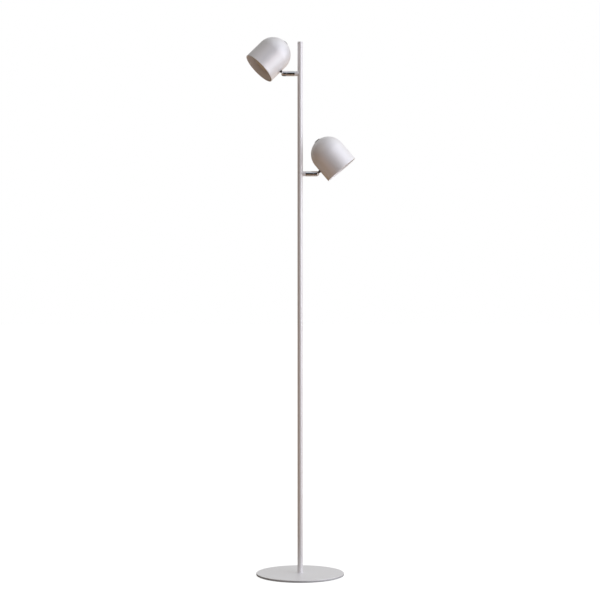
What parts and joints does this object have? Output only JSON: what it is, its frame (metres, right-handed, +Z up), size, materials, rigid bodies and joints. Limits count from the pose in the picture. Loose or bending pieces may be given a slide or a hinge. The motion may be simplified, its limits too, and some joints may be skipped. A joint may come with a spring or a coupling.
{
  "type": "adjustable floor lamp",
  "caption": "Free-standing floor lamp with a slim round pole, a flat disc base and domed spot heads on short arms that swivel and tilt, each with a push switch.",
  "frame": {"origin": "centre of the base's underside, on the floor and on the pole's axis", "axes": "+Z up along the pole, +X towards the side that the lower arm points to, -Y the front of the lamp"},
  "size_m": [0.2855, 0.23, 1.414],
  "materials": {
    "white_paint": "matt powder coat with a fine texture",
    "chrome": "polished",
    "zinc_steel": "zinc plated",
    "cast_aluminium": "as cast",
    "black_plastic": "satin",
    "white_plastic": "satin",
    "opal_plastic": "opal, satin",
    "board_white": "white solder mask with a yellow emitter",
    "foam_pad": "closed-cell foam",
    "white_rubber": "moulded",
    "lead_sheath": "moulded"
  },
  "bodies": {
    "stand": {"base_pad": "foam_pad", "base_plate": "white_paint", "foot_screw": "zinc_steel", "foot_insert": "zinc_steel", "pole_lower": "white_paint", "pole_middle": "white_paint", "pole_upper": "white_paint", "coupler_lower": "zinc_steel", "coupler_upper": "zinc_steel", "pole_cap": "white_paint", "cable_gland": "white_rubber", "pole_lead_upper": "lead_sheath", "pole_lead_lower": "lead_sheath", "boss_upper": "white_paint", "nipple_upper": "zinc_steel", "saddle_nut_upper": "zinc_steel", "swivel_washer_upper": "zinc_steel", "swivel_nut_upper": "zinc_steel", "boss_lower": "white_paint", "nipple_lower": "zinc_steel", "saddle_nut_lower": "zinc_steel", "swivel_washer_lower": "zinc_steel", "swivel_nut_lower": "zinc_steel"},
    "arm_upper": {"barrel_upper": "chrome", "knuckle_upper": "chrome", "pivot_pin_upper": "chrome", "tilt_washer_upper": "zinc_steel"},
    "head_upper": {"neck_upper": "chrome", "neck_nut_upper": "zinc_steel", "head_lead_upper": "lead_sheath", "shade_upper": "white_paint", "retaining_ring_upper": "white_plastic", "diffuser_upper": "opal_plastic", "reflector_upper": "white_plastic", "led_board_upper": "board_white", "heat_sink_upper": "cast_aluminium", "bracket_upper": "zinc_steel", "switch_body_upper": "black_plastic", "switch_bezel_upper": "black_plastic", "led_lead_upper": "lead_sheath"},
    "button_upper": {"button_upper": "black_plastic"},
    "arm_lower": {"barrel_lower": "chrome", "knuckle_lower": "chrome", "pivot_pin_lower": "chrome", "tilt_washer_lower": "zinc_steel"},
    "head_lower": {"neck_lower": "chrome", "neck_nut_lower": "zinc_steel", "head_lead_lower": "lead_sheath", "shade_lower": "white_paint", "retaining_ring_lower": "white_plastic", "diffuser_lower": "opal_plastic", "reflector_lower": "white_plastic", "led_board_lower": "board_white", "heat_sink_lower": "cast_aluminium", "bracket_lower": "zinc_steel", "switch_body_lower": "black_plastic", "switch_bezel_lower": "black_plastic", "led_lead_lower": "lead_sheath"},
    "button_lower": {"button_lower": "black_plastic"}
  },
  "joints": [
    {"name": "swivel_upper", "type": "hinge", "parent": "stand", "child": "arm_upper", "pos_m": [0, 0, 1.3165], "axis": [-1, 0, 0], "range_deg": [-189.4, 160.6]},
    {"name": "tilt_upper", "type": "hinge", "parent": "arm_upper", "child": "head_upper", "pos_m": [-0.044, 0, 1.3165], "axis": [0, 0.9686, -0.2487], "range_deg": [-101.5, 14.5]},
    {"name": "press_upper", "type": "slide", "parent": "head_upper", "child": "button_upper", "axis": [-0.6884, -0.1804, -0.7026], "range_m": [0, 0.0012], "stiffness_N_per_m": 400, "springref_m": -0.002},
    {"name": "swivel_lower", "type": "hinge", "parent": "stand", "child": "arm_lower", "pos_m": [0, 0, 1.0534], "axis": [1, 0, 0], "range_deg": [-175, 175]},
    {"name": "tilt_lower", "type": "hinge", "parent": "arm_lower", "child": "head_lower", "pos_m": [0.044, 0, 1.0534], "axis": [0, -1, 0], "range_deg": [-98.3, 17.7]},
    {"name": "press_lower", "type": "slide", "parent": "head_lower", "child": "button_lower", "axis": [0.6468, 0, -0.7627], "range_m": [0, 0.0012], "stiffness_N_per_m": 400, "springref_m": -0.002}
  ]
}
